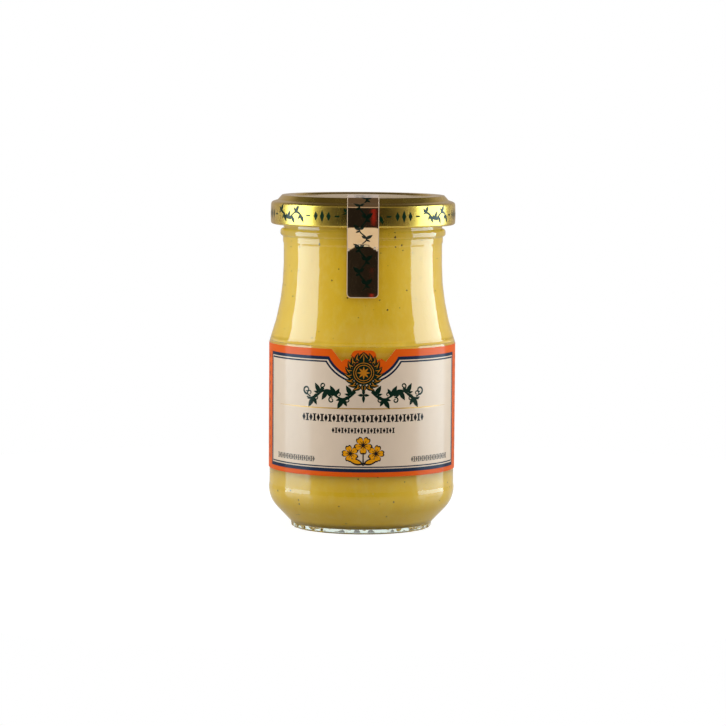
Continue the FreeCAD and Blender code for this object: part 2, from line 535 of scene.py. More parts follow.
def use(tree, group, **values):
    """Outputs of an effect placed in a material, with its own values."""
    made = tree.nodes.new("ShaderNodeGroup")
    made.node_tree = group
    for key, value in values.items():
        made.inputs[key].default_value = value
    return made.outputs


def finish_of(name, **plain):
    """Material with one Principled shader, its plain values set, and that shader."""
    material = bpy.data.materials.new(name)
    material.use_nodes = True
    shader = material.node_tree.nodes["Principled BSDF"]
    for key, value in plain.items():
        shader.inputs[key.replace("_", " ")].default_value = value
    return material, material.node_tree, shader


def bumped(tree, shader, height, depth_mm):
    """Relief of a depth in millimetres on a shader."""
    made = new_node(tree, "ShaderNodeBump", Strength=1.0, Distance=depth_mm * MM)
    tree.links.new(height, made.inputs["Height"])
    tree.links.new(made.outputs["Normal"], shader.inputs["Normal"])


# ---------------------------------------------------------------- materials

def mixed_by_ray(tree, ray, surface, other):
    """Surface output that gives way to another one for a kind of ray."""
    path = tree.nodes.new("ShaderNodeLightPath")
    mix = tree.nodes.new("ShaderNodeMixShader")
    tree.links.new(path.outputs[ray], mix.inputs[0])
    tree.links.new(surface, mix.inputs[1])
    tree.links.new(other, mix.inputs[2])
    return mix.outputs[0]


def glass_material():
    """Clear container glass, faintly green, that lets lamp light through to the mustard."""
    material, tree, shader = finish_of(
        "container_glass", Base_Color=(0.90, 0.965, 0.93, 1), IOR=1.52, Transmission_Weight=1.0,
    )
    marks = use(tree, HANDLING, Base=0.0, Smears=0.05)
    tree.links.new(marks["Roughness"], shader.inputs["Roughness"])
    bumped(tree, shader, marks["Height"], 0.05)
    clear = new_node(tree, "ShaderNodeBsdfTransparent", Color=(0.93, 0.965, 0.95, 1))
    surface = shader.outputs[0]
    for ray in ("Is Shadow Ray", "Is Diffuse Ray"):
        surface = mixed_by_ray(tree, ray, surface, clear.outputs[0])
    tree.links.new(surface, tree.nodes["Material Output"].inputs["Surface"])
    return material


def mustard_material():
    """Smooth brownish yellow paste with a cloudy tone, sparse dark specks of husk and small pale ones."""
    material, tree, shader = finish_of("smooth_mustard", Roughness=0.45, Specular_IOR_Level=0.16)
    tone = use(tree, CLOUD, Size=14.0)
    paste = blended(tree, ramp(tree, tone["Slow"], 0.3, 0.7), rgb(233, 183, 28), rgb(239, 191, 42))
    mottle = sums(tree, "MULTIPLY", ramp(tree, tone["Fine"], 0.42, 0.72), 0.35)
    paste = blended(tree, mottle, paste, rgb(240, 204, 84))
    where = placed(tree, (1.0, 1.0, 1.0))
    bent = tree.nodes.new("ShaderNodeTexNoise")
    bent.inputs["Scale"].default_value = 3.0
    tree.links.new(where, bent.inputs["Vector"])
    shifted = tree.nodes.new("ShaderNodeVectorMath")
    shifted.operation = "MULTIPLY_ADD"
    shifted.inputs[1].default_value = (0.5, 0.5, 0.5)
    tree.links.new(bent.outputs["Color"], shifted.inputs[0])
    tree.links.new(where, shifted.inputs[2])
    husk = (2.1, 0.3, 0.5, rgb(56, 34, 10))
    pale = (6.2, 0.3, 0.6, rgb(230, 204, 110))
    for cell, size, bare, colour in (husk, pale):
        cells = new_node(tree, "ShaderNodeTexVoronoi", Scale=1.0 / cell)
        tree.links.new(shifted.outputs[0], cells.inputs["Vector"])
        chosen = tree.nodes.new("ShaderNodeSeparateColor")
        tree.links.new(cells.outputs["Color"], chosen.inputs[0])
        wide = sums(tree, "MULTIPLY", sums(tree, "ADD", chosen.outputs[1], 0.6), size / cell / 1.6)
        near = sums(tree, "LESS_THAN", cells.outputs["Distance"], wide)
        picked = sums(tree, "GREATER_THAN", chosen.outputs[0], bare)
        paste = blended(tree, sums(tree, "MULTIPLY", near, picked), paste, colour)
    tree.links.new(paste, shader.inputs["Base Color"])
    bumped(tree, shader, tone["Fine"], 0.12)
    return material


def lacquer_material():
    """Gold mirror lacquer on tinplate."""
    material, tree, shader = finish_of(
        "gold_lacquer", Metallic=1.0, Coat_Weight=0.4, Coat_Roughness=0.12, Coat_IOR=1.5,
    )
    tone = use(tree, CLOUD, Size=18.0)
    gold = blended(tree, ramp(tree, tone["Slow"], 0.3, 0.7), (0.58, 0.41, 0.06, 1), (0.66, 0.48, 0.09, 1))
    tree.links.new(gold, shader.inputs["Base Color"])
    marks = use(tree, HANDLING, Base=0.235, Smears=0.2)
    tree.links.new(marks["Roughness"], shader.inputs["Roughness"])
    bumped(tree, shader, marks["Height"], 0.03)
    return material


def foil_material():
    """Bronze mirror foil with fine rolling lines."""
    material, tree, shader = finish_of("bronze_foil", Metallic=1.0, Coat_Weight=0.6, Coat_Roughness=0.06)
    lines = noise(tree, placed(tree, (14.0, 0.4, 0.12)), detail=4.0)
    tone = blended(tree, lines, (0.88, 0.60, 0.33, 1), (0.96, 0.69, 0.41, 1))
    tree.links.new(tone, shader.inputs["Base Color"])
    marks = use(tree, HANDLING, Base=0.10, Smears=0.15)
    tree.links.new(marks["Roughness"], shader.inputs["Roughness"])
    bumped(tree, shader, lines, 0.004)
    return material


def printed_material(name, colour, roughness=0.5, contrast=0.5, depth=0.012, coat=0.22, specular=0.03):
    """Ink or bare stock on coated paper: its colour broken a little by the fibre."""
    material, tree, shader = finish_of(
        name, Coat_Weight=coat, Coat_Roughness=0.13, Specular_IOR_Level=specular,
    )
    fibre = use(tree, PAPER_FIBRE, Contrast=contrast)
    darker = [c * 0.86 for c in colour[:3]] + [1.0]
    lighter = [min(1.0, c * 1.10 + 0.004) for c in colour[:3]] + [1.0]
    tree.links.new(blended(tree, fibre["Tone"], darker, lighter), shader.inputs["Base Color"])
    tree.links.new(scaled(tree, fibre["Height"], 0.16, roughness - 0.08), shader.inputs["Roughness"])
    bumped(tree, shader, fibre["Height"], depth)
    return material


def gold_ink_material():
    """Bronze powder ink of the thin rule."""
    material, tree, shader = finish_of("gold_ink", Metallic=0.6)
    fibre = use(tree, PAPER_FIBRE, Contrast=1.4)
    bronze = blended(tree, fibre["Tone"], rgb(176, 132, 62), rgb(222, 184, 112))
    tree.links.new(bronze, shader.inputs["Base Color"])
    tree.links.new(scaled(tree, fibre["Height"], 0.3, 0.3), shader.inputs["Roughness"])
    bumped(tree, shader, fibre["Height"], 0.01)
    return material


# ---------------------------------------------------------------- glass, mustard and lid

def flare_corner():
    """Corner and rounding of the long hollow arc from the neck out to the body's edge."""
    set_in = BODY_RADIUS - NECK_RADIUS
    drop = NECK_FOOT - BODY_TOP
    arc = (set_in**2 + drop**2) / (2 * set_in)
    reach = arc * set_in / drop
    return (NECK_RADIUS, NECK_FOOT - reach, arc - SHOULDER_ROUNDING)


def bore_corners(reach=0.0):
    """Inside of the glass from the middle of its floor to the neck, moved out into the wall by reach."""
    edge = (BODY_RADIUS, BODY_TOP, SHOULDER_ROUNDING)
    heel = (BODY_RADIUS, HEEL_HEIGHT, HEEL_ROUNDING)
    upper = moved_left([(NECK_RADIUS, RIM), flare_corner(), edge, heel[:2]], reach - WALL)
    lower = moved_left([(BODY_RADIUS, BODY_TOP), heel, (FOOT_RADIUS, FOOT_HEIGHT)], reach - WALL)
    (side, height), (foot, foot_height) = lower[1][:2], lower[2][:2]
    slope = (foot - side) / (foot_height - height)
    floor = FLOOR_HEIGHT - reach
    return [
        (0, floor + FLOOR_CROWN),
        (side + slope * (floor - height), floor, FLOOR_ROUNDING),
        (side, height, HEEL_ROUNDING - WALL),
        upper[2],
        upper[1],
    ]


def glass_wave(radius, angle, height):
    """Slow inward waviness of pressed glass from heel to bead, and ripples on both faces of the foot ring."""
    if height < PUSH_UP and radius < FOOT_RING + 1.0:
        ripple = RING_RIPPLE * math.sin(19 * angle + 2 * math.sin(5 * angle))
        return ripple + RING_RIPPLE_FINE * math.sin(31 * angle + 1.3)
    if height < FOOT_HEIGHT - 0.2 and radius > FOOT_RING + 1.0:
        ripple = 2.0 + math.sin(23 * angle + 1.5 * math.sin(4 * angle)) + math.sin(37 * angle + 0.4)
        return -FOOT_RIPPLE * ripple
    top = BEAD_FOOT - 1.0
    if radius < FOOT_RADIUS + 1.5 or height > top:
        return 0.0
    fade = min(1.0, (height - FOOT_HEIGHT) / 8.0, (top - height) / 4.0)
    ripple = math.sin(0.43 * height + 2.0 * math.sin(3 * angle + 0.7))
    ripple += math.sin(0.21 * height - 5 * angle + 1.9)
    ripple += 0.6 * math.sin(0.83 * height + 4 * angle)
    ripple += 0.14 * math.sin(1.7 * height + 9 * angle)
    return -WAVE_DEPTH * max(fade, 0.0) * (ripple + WAVE_SUM) / (2 * WAVE_SUM)


def make_glass():
    """Jar of clear glass: ring foot, pushed-up base, round heel, flared shoulder, bead and finish."""
    outside = [
        (0, PUSH_UP + 0.4),
        (FOOT_RING - 0.2, PUSH_UP, 0.4),
        (FOOT_RING, 0, 0.4),
        (FOOT_RADIUS - 0.05, 0, 0.7),
        (FOOT_RADIUS, FOOT_HEIGHT, 0.3),
        (BODY_RADIUS, HEEL_HEIGHT, HEEL_ROUNDING),
        (BODY_RADIUS, RIDGE_HEIGHT, 1.2),
        (BODY_RADIUS - PANEL_SET_IN, RIDGE_HEIGHT + 1.2, 1.2),
        (BODY_RADIUS - PANEL_SET_IN, BODY_TOP - 3.0, 1.0),
        (BODY_RADIUS, BODY_TOP - 1.6, 1.0),
        (BODY_RADIUS, BODY_TOP, 2.4),
        flare_corner(),
        (NECK_RADIUS, BEAD_FOOT - STEP_DROP, 0.8),
        (NECK_RADIUS + STEP_OUT, BEAD_FOOT - STEP_DROP + 0.7, 0.8),
        (NECK_RADIUS + STEP_OUT, BEAD_FOOT, 0.3),
        (BEAD_RADIUS, BEAD_FOOT, 0.8),
        (BEAD_RADIUS + 0.03, BEAD_MIDDLE, 1.6),
        (BEAD_RADIUS - 0.1, BEAD_MIDDLE + BEAD_HALF, 0.9),
        (NECK_RADIUS, BEAD_MIDDLE + BEAD_HALF, 0.3),
        (NECK_RADIUS, FINISH_FOOT - 0.3, 0.25),
        (FINISH_RADIUS, FINISH_FOOT, 0.25),
        (FINISH_RADIUS, RIM, 0.8),
        (BORE_RADIUS, RIM, 0.8),
    ]
    line = rounded_line(outside + bore_corners()[::-1], 5.0)
    piece = turned(
        "glass", with_runs_cut(line, LONGEST_GLASS_RUN), GLASS_SIDES, [glass_material()],
        push=lambda r, a, z: 0.0 if inside_wall(r, z) else glass_wave(r, a, z),
    )
    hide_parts("glass_jar")


def inside_wall(radius, height):
    """True on the glass's inner face, where the body is wider than the neck."""
    if height > BODY_TOP + 4:
        return radius < NECK_RADIUS - 0.1
    if height < HEEL_HEIGHT:
        return height > PUSH_UP + 0.1 and radius < FOOT_RADIUS + height - 2.5
    return radius < BODY_RADIUS - WALL / 2


def make_mustard():
    """Paste that fills the jar and reaches just into the glass, so that no gap shows."""
    corners = bore_corners(INTO_WALL) + [(BORE_RADIUS + INTO_WALL, FILL_TOP, 0.6), (0, FILL_TOP - 0.3)]
    line = with_runs_cut(rounded_line(corners, 5.0), 2.0)
    piece = turned("mustard_fill", line, MUSTARD_SIDES, [mustard_material()])
    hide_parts("mustard")


def lid_corners():
    """Outside of the lid from the middle of its panel to the foot of its skirt."""
    panel = LID_TOP - PANEL_DROP
    return [
        (0, panel + BUTTON_RISE),
        (BUTTON_RADIUS, panel + BUTTON_RISE, 0.8),
        (BUTTON_RADIUS + BUTTON_SLOPE, panel, 0.8),
        (PANEL_RADIUS - 0.5, panel, 0.4),
        (PANEL_RADIUS, LID_TOP, 0.4),
        (STEP_TOP_RADIUS, LID_TOP, 0.6),
        (STEP_FOOT_RADIUS, STEP_FOOT, 0.5),
        (LID_RADIUS - SKIRT_BELLY, SKIRT_TOP, 1.1),
        (LID_RADIUS, LID_FOOT + 2.6, 24.0),
        (LID_RADIUS - SKIRT_BELLY, LID_FOOT, 0.8),
    ]


def make_lid():
    """Pressed tinplate lid with a recessed panel, a stepped edge and a rolled foot."""
    outer = lid_corners()
    inner = moved_left(outer, -LID_SHEET)
    curl_inside = LID_RADIUS - CURL_WIDTH
    curl_line = [
        (curl_inside, LID_FOOT, 0.7),
        (curl_inside, LID_FOOT + CURL_HEIGHT, 0.7),
        (LID_RADIUS - LID_SHEET, LID_FOOT + CURL_HEIGHT),
    ]
    line = with_runs_cut(rounded_line(outer + curl_line + inner[-2::-1], 7.0), 2.5)
    piece = turned("gold_lid", line, LID_SIDES, [lacquer_material()])
    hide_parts("lid")


# ---------------------------------------------------------------- seal strip

def strip_line():
    """(radius, height) line of the strip's underside, from its foot on the neck to its end on the lid."""
    lid_side = lid_corners()[::-1]
    lid_side[0] = (LID_RADIUS, LID_FOOT, STRIP_BEND)
    corners = [(BODY_RADIUS, BODY_TOP, SHOULDER_ROUNDING), flare_corner()]
    corners += [(NECK_RADIUS, STRIP_LANDING, STRIP_BEND)]
    corners += lid_side[:-1] + [(-STRIP_END, lid_side[-1][1])]
    line = rounded_line(moved_left(corners, -STRIP_GAP), 8.0)
    return with_runs_cut(line, STRIP_RUN)


def cut_below(line, height):
    """The part of a rising line above a height, starting exactly at it."""
    for i, (before, after) in enumerate(zip(line, line[1:])):
        if before.y <= height < after.y:
            share = (height - before.y) / (after.y - before.y)
            return [before.lerp(after, share)] + line[i + 1:]
    return line


STRIP_LINE = cut_below(strip_line(), STRIP_FOOT)
STRIP_STEPS = [0.0]
for a, b in zip(STRIP_LINE, STRIP_LINE[1:]):
    STRIP_STEPS.append(STRIP_STEPS[-1] + (b - a).length)
STRIP_LENGTH = STRIP_STEPS[-1]


def on_strip(across, along, lift):
    """Point in metres on the strip, along its length from its foot, raised by lift.

    It wraps the neck and the lid, and between them it is a flat bridge, so its lower crease is an arch.
    """
    along = min(max(along, 0.0), STRIP_LENGTH)
    i = max(k for k, step in enumerate(STRIP_STEPS) if step <= along + 1e-9)
    i = min(i, len(STRIP_LINE) - 2)
    run = STRIP_LINE[i + 1] - STRIP_LINE[i]
    spot = STRIP_LINE[i] + run * ((along - STRIP_STEPS[i]) / run.length)
    before = STRIP_LINE[max(i - 1, 0)]
    after = STRIP_LINE[min(i + 2, len(STRIP_LINE) - 1)]
    ahead = (after - before).normalized()
    spot = spot + Vector((ahead.y, -ahead.x)) * lift
    wrap = max(abs(spot.x), ROUND_UNTIL)
    sag = wrap - math.sqrt(wrap**2 - across**2)
    sag *= min(max((spot.x + ROUND_UNTIL) / (2 * ROUND_UNTIL), 0.0), 1.0)
    out = spot.x - sag
    rise = (spot.y - STRIP_LANDING) / (LID_FOOT - STRIP_LANDING)
    if BRIDGE_START < rise < 1.0 and spot.x > ROUND_UNTIL:
        landing = STRIP_LANDING - STRIP_ARCH * (across / STRIP_HALF) ** 2
        bridge = NECK_RADIUS + STRIP_GAP + lift
        bridge += (LID_RADIUS - NECK_RADIUS) * (spot.y - landing) / (LID_FOOT - landing)
        bridge -= sag * max(rise, 0.0) ** 2
        gap = bridge - out
        out += (gap + math.sqrt(gap**2 + BRIDGE_SOFTNESS)) / 2
    return Vector((across, -out, spot.y)) * MM


def strip_shape(inset=0.0):
    """Outline of the strip laid flat, with round corners at both ends."""
    half = STRIP_HALF - inset
    low, high = inset, STRIP_LENGTH - inset
    corner = STRIP_CORNER - inset
    start = (half, 20)
    ends = [(half, high, corner), (-half, high, corner), (-half, low, corner), (half, low, corner)]
    line = rounded_line([start] + ends + [start], 10.0)
    return [tuple(p) for p in with_runs_cut(line, STRIP_RUN)[:-1]]


def make_strip():
    """Foil strip: pale stock with bronze foil inside its cut edges, and a vine printed up it."""
    stock = printed_material("strip_stock", rgb(228, 206, 182), roughness=0.35, coat=0.4)
    base = strip_layer("strip_stock", [strip_shape()], 0.0, STOCK_TOP, stock)
    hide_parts("seal_strip")
    strip_layer("strip_foil", [strip_shape(STRIP_BORDER)], STOCK_TOP, FOIL_TOP, foil_material())
    ink = printed_material("strip_ink", rgb(3, 26, 14), roughness=0.3, coat=0.5)
    strip_layer("strip_vine", strip_vine(), FOIL_TOP, VINE_TOP, ink)


def strip_layer(name, shapes, foot, top, material):
    """Layer of the strip between two lifts."""
    rows = [k * STRIP_ROW for k in range(int(STRIP_LENGTH / STRIP_ROW) + 1)]
    return sheet_between(
        name, shapes, lambda x, along: on_strip(x, along, top), lambda x, along: on_strip(x, along, foot),
        [material], columns=evenly(STRIP_COLUMN, STRIP_HALF), rows=rows,
    )


def strip_vine():
    """Vine with leaves that climbs the strip, in (across, along)."""
    start, stop = 2.4, STRIP_LENGTH - 5.0
    turns = 8
    steps = 240
    path = [
        (1.1 * math.sin(2 * math.pi * turns * k / steps), start + (stop - start) * k / steps)
        for k in range(steps + 1)
    ]
    shapes = [stroke(path, [0.2] + [0.6, 0.32] * turns + [0.2])]
    for k in range(2 * turns):
        side = 1 if k % 2 == 0 else -1
        along = start + (stop - start) * (k + 0.5) / (2 * turns)
        shapes.append(leaf(side * 0.9, along, 2.9, 1.35, 90 - side * 50))
        shapes.append(leaf(side * 0.9, along + 0.2, 1.9, 0.9, 90 + side * 48))
        shapes.append(leaf(side * 0.9, along - 0.2, 1.7, 0.8, -90 + side * 60))
    return shapes


# ---------------------------------------------------------------- label

def at_label(radius):
    """Map from (arc, height) on the label to a point in metres at a radius."""
    return lambda arc, height: place(radius, arc / BODY_RADIUS + LABEL_TURN, height)


def on_label(layer):
    """Map from (arc, height) to a point in metres on the label, layer steps of ink above the paper."""
    return at_label(PAPER_OUTER + layer * INK_STEP)


def label_shape():
    """Outline of the label laid flat: straight foot and ends, and a crest between two notches on top."""
    half = BODY_RADIUS * (math.pi - math.asin(LABEL_GAP / 2 / BODY_RADIUS))
    crest = [
        (10.4, LABEL_TOP, 0.4),
        (7.1, LABEL_TOP - 4.0, 0.25),
        (5.7, LABEL_TOP - 2.95, 0.5),
        (3.95, LABEL_TOP - 3.45, 0.25),
        (3.95, LABEL_TOP - 0.25, 1.8),
    ]
    top = [(-x, z, r) for x, z, r in crest] + crest[::-1]
    corners = [(0, LABEL_FOOT), (-half, LABEL_FOOT, 0.6), (-half, LABEL_TOP, 0.6)]
    corners += top + [(half, LABEL_TOP, 0.6), (half, LABEL_FOOT, 0.6), (0, LABEL_FOOT)]
    return [tuple(p) for p in rounded_line(corners, 12.0)[:-1]][::-1]


def field_shape(side, top, foot, scoop):
    """Outline of the front field: upright sides and a round scoop in its top edge, round the crest."""
    centre = LABEL_TOP + SCOOP_RISE
    first = math.asin((centre - top) / scoop)
    arc = []
    for k in range(SCOOP_STEPS + 1):
        turn = first + (math.pi - 2 * first) * k / SCOOP_STEPS
        arc.append((scoop * math.cos(turn), centre - scoop * math.sin(turn)))
    return [(-side, foot), (side, foot), (side, top)] + arc + [(-side, top)]


# Side, top, foot and scoop of the front field, from its edge inward.
FIELD = {
    "blue": (39.15, LABEL_TOP - 2.4, LABEL_FOOT + 1.5, 12.8),
    "white": (38.3, LABEL_TOP - 3.45, LABEL_FOOT + 2.65, 13.65),
    "line": (38.0, LABEL_TOP - 3.8, LABEL_FOOT + 3.0, 14.15),
    "cream": (37.6, LABEL_TOP - 4.3, LABEL_FOOT + 3.4, 14.75),
}


def round_label(name, shapes, outer, inner, materials):
    """Closed sheet wrapped round the jar between two skins."""
    columns = evenly(COLUMN, LABEL_HALF_ROUND)
    return sheet_between(name, shapes, outer, inner, materials, columns=columns)


def name_flourish():
    """Two long scrolls with leaves, one each side of a star of leaves."""
    middle = NAME_HEIGHT
    stem = wave(2.4, 19.3, middle, 1.35, phase=2.4)
    shapes = [stroke(stem, [0.3, 1.05, 0.55, 1.1, 0.5, 1.0, 0.4])]
    for k in range(6):
        share = (k + 0.6) / 6.4
        x, y = stem[int(share * (len(stem) - 1))]
        up = 1 if k % 2 == 0 else -1
        shapes.append(leaf(x, y, 3.7, 1.6, up * 60))
        shapes.append(leaf(x, y, 2.7, 1.2, up * 120))
        shapes.append(leaf(x + 0.5, y, 1.9, 0.8, up * 14))
        tendril = curl(x + 1.35, y - up * 1.5, 1.0, up * 110, -up * 400, 0.3)
        shapes.append(stroke(tendril, [0.5, 0.45, 0.25]))
    shapes.append(stroke(curl(19.3, middle + 1.25, 1.35, -100, 420, 0.25), [0.7, 0.55, 0.3]))
    shapes += [leaf(0, middle, 2.5, 1.0, 90), leaf(0, middle, 2.5, 1.0, -90), leaf(0, middle, 1.9, 0.9, 0)]
    return mirrored(shapes)


def ornament_row(left, right, middle, height, pitch):
    """Row of lozenges and of uprights with short feet and heads, by turns, a pitch apart."""
    shapes = []
    count = round((right - left) / pitch)
    for k in range(count + 1):
        x = left + (right - left) * k / count
        if k % 2 == 0:
            shapes.append(lozenge(x, middle, height * 0.5, height))
            continue
        for half, low, high in ((0.13, -0.46, 0.46), (0.26, 0.34, 0.46), (0.26, -0.46, -0.34)):
            reach = height * half
            shapes.append(bar(x - reach, middle + height * low, x + reach, middle + height * high))
    return shapes


def wreath_places():
    """(across, up, length, width, degrees) of each leaf of the two branches that rise round the boss."""
    places = []
    long_leaf, short_leaf = (4.0, 30, 3.3, 1.5), (3.4, 100, 2.0, 1.2)
    for k in range(WREATH_LEAVES):
        angle = math.radians(-82 + k * 18.5)
        for reach, lean, length, width in (long_leaf, short_leaf):
            x, y = reach * math.cos(angle), WREATH_HEIGHT + 1.12 * reach * math.sin(angle)
            places.append((x, y, length, width, math.degrees(angle) + 90 - lean))
    return places


def crest_dark():
    """Dark ground of the crest: two branches of leaves round a boss, with three leaves on top."""
    shapes = mirrored([leaf(*at) for at in wreath_places()])
    shapes += [disc(0, WREATH_HEIGHT, 3.9, 40), lozenge(0, 48.6, 2.6, 1.6), leaf(0, 56.2, 3.4, 1.7, 90)]
    return shapes + [leaf(side * 0.4, 56.2, 2.9, 1.4, 90 - side * 38) for side in (1, -1)]


def crest_lines():
    """Fine bright lines of the crest: leaf veins, rings and a small rosette."""
    veins = []
    for x, y, length, _, degrees in wreath_places():
        angle = math.radians(degrees)
        start, stop = 0.2 * length, 0.86 * length
        reaches = (start, (start + stop) / 2, stop)
        path = [(x + r * math.cos(angle), y + r * math.sin(angle)) for r in reaches]
        veins.append(stroke(path, [0.12, 0.3, 0.1]))
    shapes = mirrored(veins)
    for radius in (3.2, 2.5):
        shapes.append(stroke(curl(0, WREATH_HEIGHT, radius, 0, 358, 1.0, 48), [0.2, 0.2]))
    shapes += [leaf(0, WREATH_HEIGHT, 2.1, 0.62, 360 * k / 8) for k in range(8)]
    return shapes + [stroke([(0, 56.7), (0, 57.8), (0, 58.9)], [0.15, 0.3, 0.1])]


def blossom(x, y, size, turn, spare):
    """Outline of a flower of five notched petals, grown by spare."""
    line = []
    for k in range(120):
        share = (k / 24) % 1.0 - 0.5
        notch = 0.14 * math.exp(-((share / 0.09) ** 2))
        reach = size * (0.3 + 0.7 * math.cos(math.pi * share) ** 0.45 - notch) + spare
        angle = math.radians(turn + 3 * k)
        line.append((x + reach * math.cos(angle), y + reach * math.sin(angle)))
    return line


def petal_lines(x, y, size, turn):
    """Dark lines on a flower: one between each pair of petals, a short vein in each, and its middle."""
    lines = [disc(x, y, 0.2 * size, 12)]
    for k in range(10):
        angle = math.radians(turn + 36 * k)
        reach = size * (0.62 if k % 2 else 0.5)
        path = [(x + reach * f * math.cos(angle), y + reach * f * math.sin(angle)) for f in (0.1, 0.6, 1.0)]
        lines.append(stroke(path, [0.3, 0.36, 0.28] if k % 2 == 0 else [0.24, 0.2, 0.1]))
    return lines


def seed_spray():
    """Three flowers over two leaves. Returns dark grounds, yellow shapes over them, and lines over those."""
    dark, yellow, lines = [], [], []
    for x, y, size, turn in ((0.0, 30.0, 2.7, 18), (-4.1, 27.3, 2.5, 0), (4.1, 27.3, 2.5, 36)):
        dark.append(blossom(x, y, size, turn, 0.42))
        yellow.append(blossom(x, y, size, turn, 0.0))
        lines += petal_lines(x, y, size, turn)
        dark.append(stroke([(x * 0.8, y - 1.5), (x * 0.45, 25.2), (0.0, 23.5)], [0.4, 0.45, 0.5]))
    for side in (1, -1):
        dark.append(leaf(0, 23.9, 5.6, 2.1, 90 - side * 72))
        yellow.append(leaf(side * 0.7, 24.2, 4.2, 1.2, 90 - side * 72))
    return dark, yellow, lines


def side_marks():
    """Upright columns of lozenges beyond the front field, on both sides."""
    return mirrored([lozenge(SIDE_MARK_ARC, LABEL_FOOT + 4.0 + k * 3.0, 1.1, 1.9) for k in range(12)])


def back_panels():
    """Plain cream panels with a blue edge and ruled lines, on the turned-away sides of the label."""
    half, foot, top = 16.0, 24.0, 56.5
    edge = 0.5
    prints = []
    for side, name in ((1, "right"), (-1, "left")):
        x = side * SIDE_PANEL_ARC
        border = [bar(x - half - edge, foot - edge, x + half + edge, top + edge)]
        rules = []
        for k in range(8):
            low = 27.5 + 3.6 * k
            rules.append(bar(x - 13.0, low, x + 13.0 - 5 * (k % 3 == 0), 27.9 + 3.6 * k))
        prints.append((f"panel_edge_{name}", border, 1, "blue_ink"))
        prints.append((f"panel_{name}", [bar(x - half, foot, x + half, top)], 2, "cream_stock"))
        prints.append((f"panel_rules_{name}", rules, 3, "grey_ink"))
    return prints


INKS = {
    "orange_ink": {"colour": rgb(230, 92, 0), "contrast": 0.6},
    "paper_edge": {"colour": rgb(236, 224, 204), "roughness": 0.7, "coat": 0.0},
    "blue_ink": {"colour": rgb(16, 36, 66)},
    "navy_ink": {"colour": rgb(20, 34, 58)},
    "cream_stock": {"colour": rgb(227, 207, 186), "roughness": 0.4, "contrast": 0.45, "specular": 0.14},
    "green_ink": {"colour": rgb(3, 36, 24), "roughness": 0.36},
    "black_ink": {"colour": rgb(26, 24, 24), "roughness": 0.4},
    "grey_ink": {"colour": rgb(112, 104, 96), "roughness": 0.45},
    "amber_ink": {"colour": rgb(196, 124, 24), "roughness": 0.38},
    "yellow_ink": {"colour": rgb(238, 160, 8), "roughness": 0.36},
    "red_ink": {"colour": rgb(140, 28, 14), "roughness": 0.4},
}


def label_prints():
    """(name, flat shapes, layer above the paper, ink) of each print on the label."""
    layers = (("blue", "blue_ink"), ("white", "cream_stock"), ("line", "navy_ink"), ("cream", "cream_stock"))
    prints = [
        (f"field_{key}", [field_shape(*FIELD[key])], step + 1, ink) for step, (key, ink) in enumerate(layers)
    ]
    rule = [(x, RULE_HEIGHT) for x in range(-RULE_HALF, RULE_HALF + 1)]
    corner_row = ornament_row(16.6, 33.0, CORNER_ROW_HEIGHT, 1.9, 0.86)
    dark, bright, lines = seed_spray()
    return prints + [
        ("crest_dark", crest_dark(), 5, "green_ink"),
        ("crest_lines", crest_lines(), 6, "amber_ink"),
        ("name_flourish", name_flourish(), 5, "green_ink"),
        ("gold_rule", [stroke(rule, [0.12, 0.4, 0.45, 0.4, 0.12])], 5, "gold_ink"),
        ("wide_row", ornament_row(-20.4, 20.4, WIDE_ROW_HEIGHT, 2.6, 1.36), 5, "black_ink"),
        ("narrow_row", ornament_row(-9.8, 9.8, NARROW_ROW_HEIGHT, 1.9, 1.03), 5, "black_ink"),
        ("spray_dark", dark, 5, "black_ink"),
        ("spray_yellow", bright, 6, "yellow_ink"),
        ("spray_lines", lines, 7, "black_ink"),
        ("corner_rows", mirrored(corner_row), 5, "grey_ink"),
        ("side_marks", side_marks(), 1, "red_ink"),
    ] + back_panels()


def make_label():
    """Orange coated paper with a cream field, blue borders and plain ornaments."""
    inks = {name: printed_material(name, **look) for name, look in INKS.items()}
    inks["gold_ink"] = gold_ink_material()
    paper = round_label(
        "label_paper", [label_shape()], on_label(0), at_label(PAPER_INNER),
        [inks["orange_ink"], inks["paper_edge"]],
    )
    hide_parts("label")
    for name, shapes, layer, ink in label_prints():
        round_label(name, shapes, on_label(layer), on_label(layer - 1), [inks[ink]])


# ---------------------------------------------------------------- lid print

def lid_band():
    """Flat shapes of the band round the skirt: leafy scrolls, dashes and groups of lozenges."""
    middle = (LID_FOOT + SKIRT_TOP) / 2 + 0.1
    whole = 2 * math.pi * LID_RADIUS
    pitch = whole / BAND_GROUPS
    shapes = []
    for g in range(BAND_GROUPS):
        x = -whole / 2 + (g + 0.5) * pitch
        stem = wave(x - 6.2, x + 6.2, middle, 1.05, phase=0.6)
        shapes.append(stroke(stem, [0.3, 0.85, 0.5, 0.9, 0.5, 0.85, 0.3]))
        for k in range(6):
            at = stem[4 + 8 * k]
            up = 1 if k % 2 == 0 else -1
            shapes.append(leaf(*at, 2.9, 1.25, up * 62))
            shapes.append(leaf(*at, 1.9, 0.9, up * 125))
        x += pitch / 2
        for k in (-1, 0, 1):
            shapes.append(lozenge(x + 2.3 * k, middle, 1.5, 4.2 - 1.1 * abs(k)))
        for side in (1, -1):
            shapes.append(bar(x + side * 5.2 - 0.8, middle - 0.25, x + side * 5.2 + 0.8, middle + 0.25))
    return shapes


